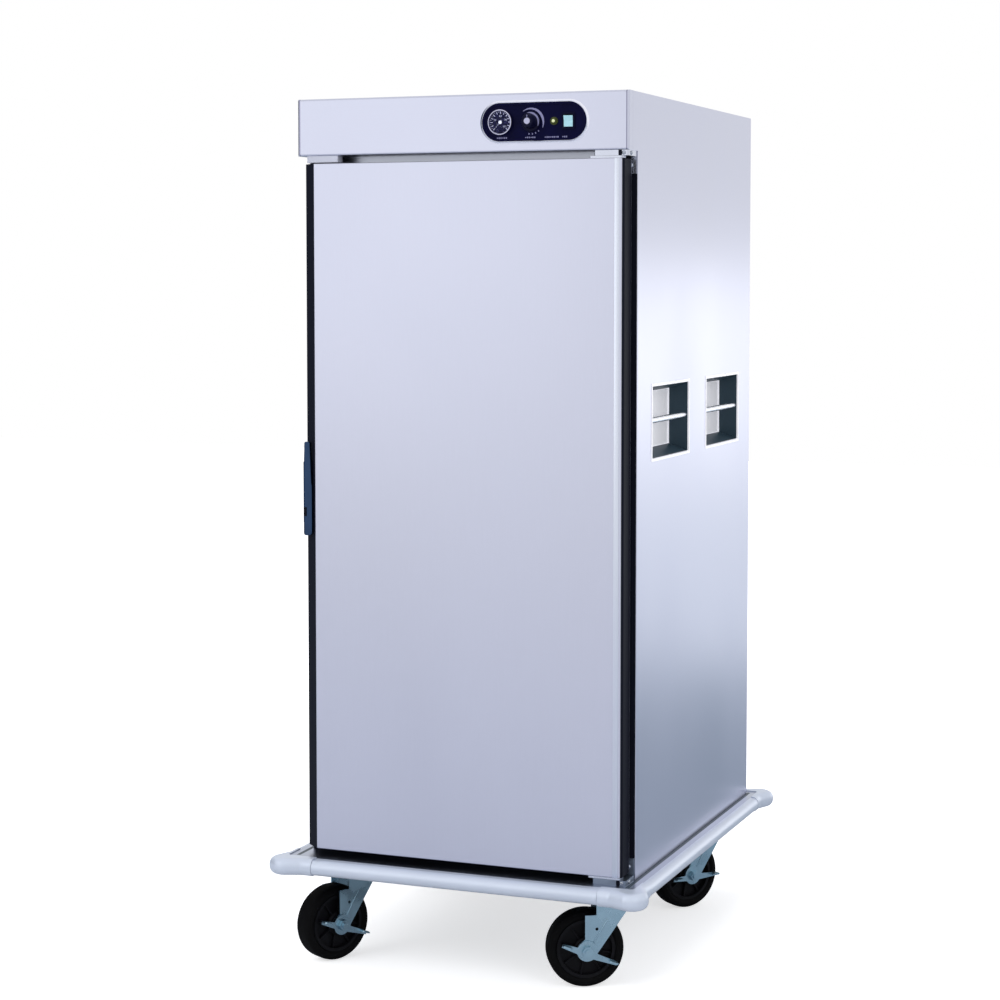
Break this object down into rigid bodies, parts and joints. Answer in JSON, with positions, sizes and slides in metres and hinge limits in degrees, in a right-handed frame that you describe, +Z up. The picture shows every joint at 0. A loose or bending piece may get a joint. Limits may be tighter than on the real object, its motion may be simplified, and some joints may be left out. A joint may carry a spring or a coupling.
{
  "type": "heated holding cabinet",
  "caption": "Tall insulated hot food trolley with one full-height door, a control head, recessed side grips, a wrap-round bumper and swivel castors.",
  "frame": {"origin": "on the floor under the middle of the cabinet shell", "axes": "+X right seen from the front, +Y to the back (the door faces -Y), +Z up"},
  "size_m": [0.784, 0.969, 1.713],
  "materials": {
    "stainless_shell": "satin brushed stainless steel",
    "stainless_inner": "satin stainless steel",
    "chassis_paint": "grey powder coat",
    "bumper_vinyl": "smooth grey vinyl",
    "zinc_plate": "bright zinc plate",
    "tyre_rubber": "matt black",
    "hub_nylon": "black nylon",
    "hinge_steel": "polished steel",
    "latch_steel": "plated, blue-grey",
    "guide_plastic": "light grey",
    "frame_break": "dark thermal-break profile",
    "gasket_rubber": "dark grey silicone",
    "insulation_wool": "mineral wool",
    "heater_sheath": "heat-tinted alloy tube",
    "motor_case": "cast, satin",
    "fan_aluminium": "satin",
    "bezel_gloss": "gloss navy black",
    "dial_case_chrome": "bright",
    "dial_paint": "matt pale grey",
    "needle_paint": "matt black",
    "dial_glass": "clear",
    "knob_plastic": "black",
    "lamp_lens": "yellow-green lens",
    "switch_black": "black",
    "rocker_pale": "pale cyan",
    "gland_nylon": "black nylon",
    "screw_steel": "bright"
  },
  "bodies": {
    "cabinet": {"chassis_frame": "chassis_paint", "base_pan": "stainless_shell", "bumper_rails": "bumper_vinyl", "bumper_corners": "bumper_vinyl", "side_panel_right": "stainless_shell", "side_panel_left": "stainless_shell", "grip_cups": "stainless_shell", "grip_bars": "hinge_steel", "back_panel": "stainless_shell", "top_panel": "stainless_shell", "control_fascia": "stainless_shell", "front_frame": "frame_break", "cabin_liner": "stainless_inner", "insulation_panels": "insulation_wool", "control_shelf": "stainless_inner", "tray_rack": "stainless_inner", "air_baffle": "stainless_inner", "heating_element": "heater_sheath", "blower_motor": "motor_case", "rear_cover": "stainless_shell", "cable_gland": "gland_nylon", "fasteners": "screw_steel", "control_bezel": "bezel_gloss", "thermometer_case": "dial_case_chrome", "thermometer_dial": "dial_paint", "thermometer_lens": "dial_glass", "thermostat_body": "switch_black", "pilot_lamp": "lamp_lens", "switch_housing": "switch_black", "hinge_brackets": "hinge_steel", "guide_block": "guide_plastic", "latch_strike": "hinge_steel", "caster_plates": "zinc_plate"},
    "door": {"door_skin": "stainless_shell", "door_liner": "stainless_inner", "door_insulation": "insulation_wool", "door_gasket": "gasket_rubber", "door_hinge_plates": "hinge_steel", "latch_body": "latch_steel"},
    "latch_lever": {"latch_lever": "latch_steel"},
    "thermostat_knob": {"thermostat_knob": "knob_plastic"},
    "thermometer_needle": {"thermometer_needle": "needle_paint"},
    "switch_rocker": {"switch_rocker": "rocker_pale"},
    "impeller": {"impeller": "fan_aluminium"},
    "caster_front_left": {"caster_fork_front_left": "zinc_plate"},
    "wheel_front_left": {"wheel_hub_front_left": "hub_nylon", "tyre_front_left": "tyre_rubber"},
    "brake_front_left": {"brake_lever_front_left": "zinc_plate"},
    "caster_front_right": {"caster_fork_front_right": "zinc_plate"},
    "wheel_front_right": {"wheel_hub_front_right": "hub_nylon", "tyre_front_right": "tyre_rubber"},
    "brake_front_right": {"brake_lever_front_right": "zinc_plate"},
    "caster_rear_right": {"caster_fork_rear_right": "zinc_plate"},
    "wheel_rear_right": {"wheel_hub_rear_right": "hub_nylon", "tyre_rear_right": "tyre_rubber"},
    "brake_rear_right": {"brake_lever_rear_right": "zinc_plate"},
    "caster_rear_left": {"caster_fork_rear_left": "zinc_plate"},
    "wheel_rear_left": {"wheel_hub_rear_left": "hub_nylon", "tyre_rear_left": "tyre_rubber"},
    "brake_rear_left": {"brake_lever_rear_left": "zinc_plate"}
  },
  "joints": [
    {"name": "door_hinge", "type": "hinge", "parent": "cabinet", "child": "door", "pos_m": [0.316, -0.4085, 0.913], "axis": [0, 0, 1], "range_deg": [0, 180]},
    {"name": "latch_pull", "type": "hinge", "parent": "door", "child": "latch_lever", "pos_m": [-0.3296, -0.4165, 0.907], "axis": [0, 0, -1], "range_deg": [0, 25], "stiffness_Nm_per_rad": 0.2},
    {"name": "knob_turn", "type": "hinge", "parent": "cabinet", "child": "thermostat_knob", "pos_m": [0.148, -0.425, 1.6585], "axis": [0, 1, 0], "range_deg": [0, 270]},
    {"name": "needle_turn", "type": "hinge", "parent": "cabinet", "child": "thermometer_needle", "pos_m": [0.087, -0.429, 1.6585], "axis": [0, 1, 0], "range_deg": [0, 270]},
    {"name": "rocker_tilt", "type": "hinge", "parent": "cabinet", "child": "switch_rocker", "pos_m": [0.2225, -0.424, 1.6585], "axis": [1, 0, 0], "range_deg": [-16, 0]},
    {"name": "fan_spin", "type": "hinge", "parent": "cabinet", "child": "impeller", "pos_m": [0, 0.009, 1.54], "axis": [0, 0, 1], "continuous": true},
    {"name": "swivel_front_left", "type": "hinge", "parent": "cabinet", "child": "caster_front_left", "pos_m": [-0.275, -0.312, 0.17], "axis": [0, 0, 1], "continuous": true},
    {"name": "roll_front_left", "type": "hinge", "parent": "caster_front_left", "child": "wheel_front_left", "pos_m": [-0.3025, -0.35963, 0.075], "axis": [-0.866, 0.5, 0], "continuous": true},
    {"name": "brake_front_left", "type": "hinge", "parent": "caster_front_left", "child": "brake_front_left", "pos_m": [-0.3025, -0.35963, 0.075], "axis": [-0.866, 0.5, 0], "range_deg": [-20, 0]},
    {"name": "swivel_front_right", "type": "hinge", "parent": "cabinet", "child": "caster_front_right", "pos_m": [0.275, -0.312, 0.17], "axis": [0, 0, 1], "continuous": true},
    {"name": "roll_front_right", "type": "hinge", "parent": "caster_front_right", "child": "wheel_front_right", "pos_m": [0.2269, -0.33866, 0.075], "axis": [-0.4848, 0.8746, 0], "continuous": true},
    {"name": "brake_front_right", "type": "hinge", "parent": "caster_front_right", "child": "brake_front_right", "pos_m": [0.2269, -0.33866, 0.075], "axis": [-0.4848, 0.8746, 0], "range_deg": [-20, 0]},
    {"name": "swivel_rear_right", "type": "hinge", "parent": "cabinet", "child": "caster_rear_right", "pos_m": [0.275, 0.312, 0.17], "axis": [0, 0, 1], "continuous": true},
    {"name": "roll_rear_right", "type": "hinge", "parent": "caster_rear_right", "child": "wheel_rear_right", "pos_m": [0.2419, 0.26808, 0.075], "axis": [-0.7986, 0.6018, 0], "continuous": true},
    {"name": "brake_rear_right", "type": "hinge", "parent": "caster_rear_right", "child": "brake_rear_right", "pos_m": [0.2419, 0.26808, 0.075], "axis": [-0.7986, 0.6018, 0], "range_deg": [0, 20]},
    {"name": "swivel_rear_left", "type": "hinge", "parent": "cabinet", "child": "caster_rear_left", "pos_m": [-0.275, 0.312, 0.17], "axis": [0, 0, 1], "continuous": true},
    {"name": "roll_rear_left", "type": "hinge", "parent": "caster_rear_left", "child": "wheel_rear_left", "pos_m": [-0.31389, 0.27311, 0.075], "axis": [-0.7071, 0.7071, 0], "continuous": true},
    {"name": "brake_rear_left", "type": "hinge", "parent": "caster_rear_left", "child": "brake_rear_left", "pos_m": [-0.31389, 0.27311, 0.075], "axis": [-0.7071, 0.7071, 0], "range_deg": [0, 20]}
  ]
}
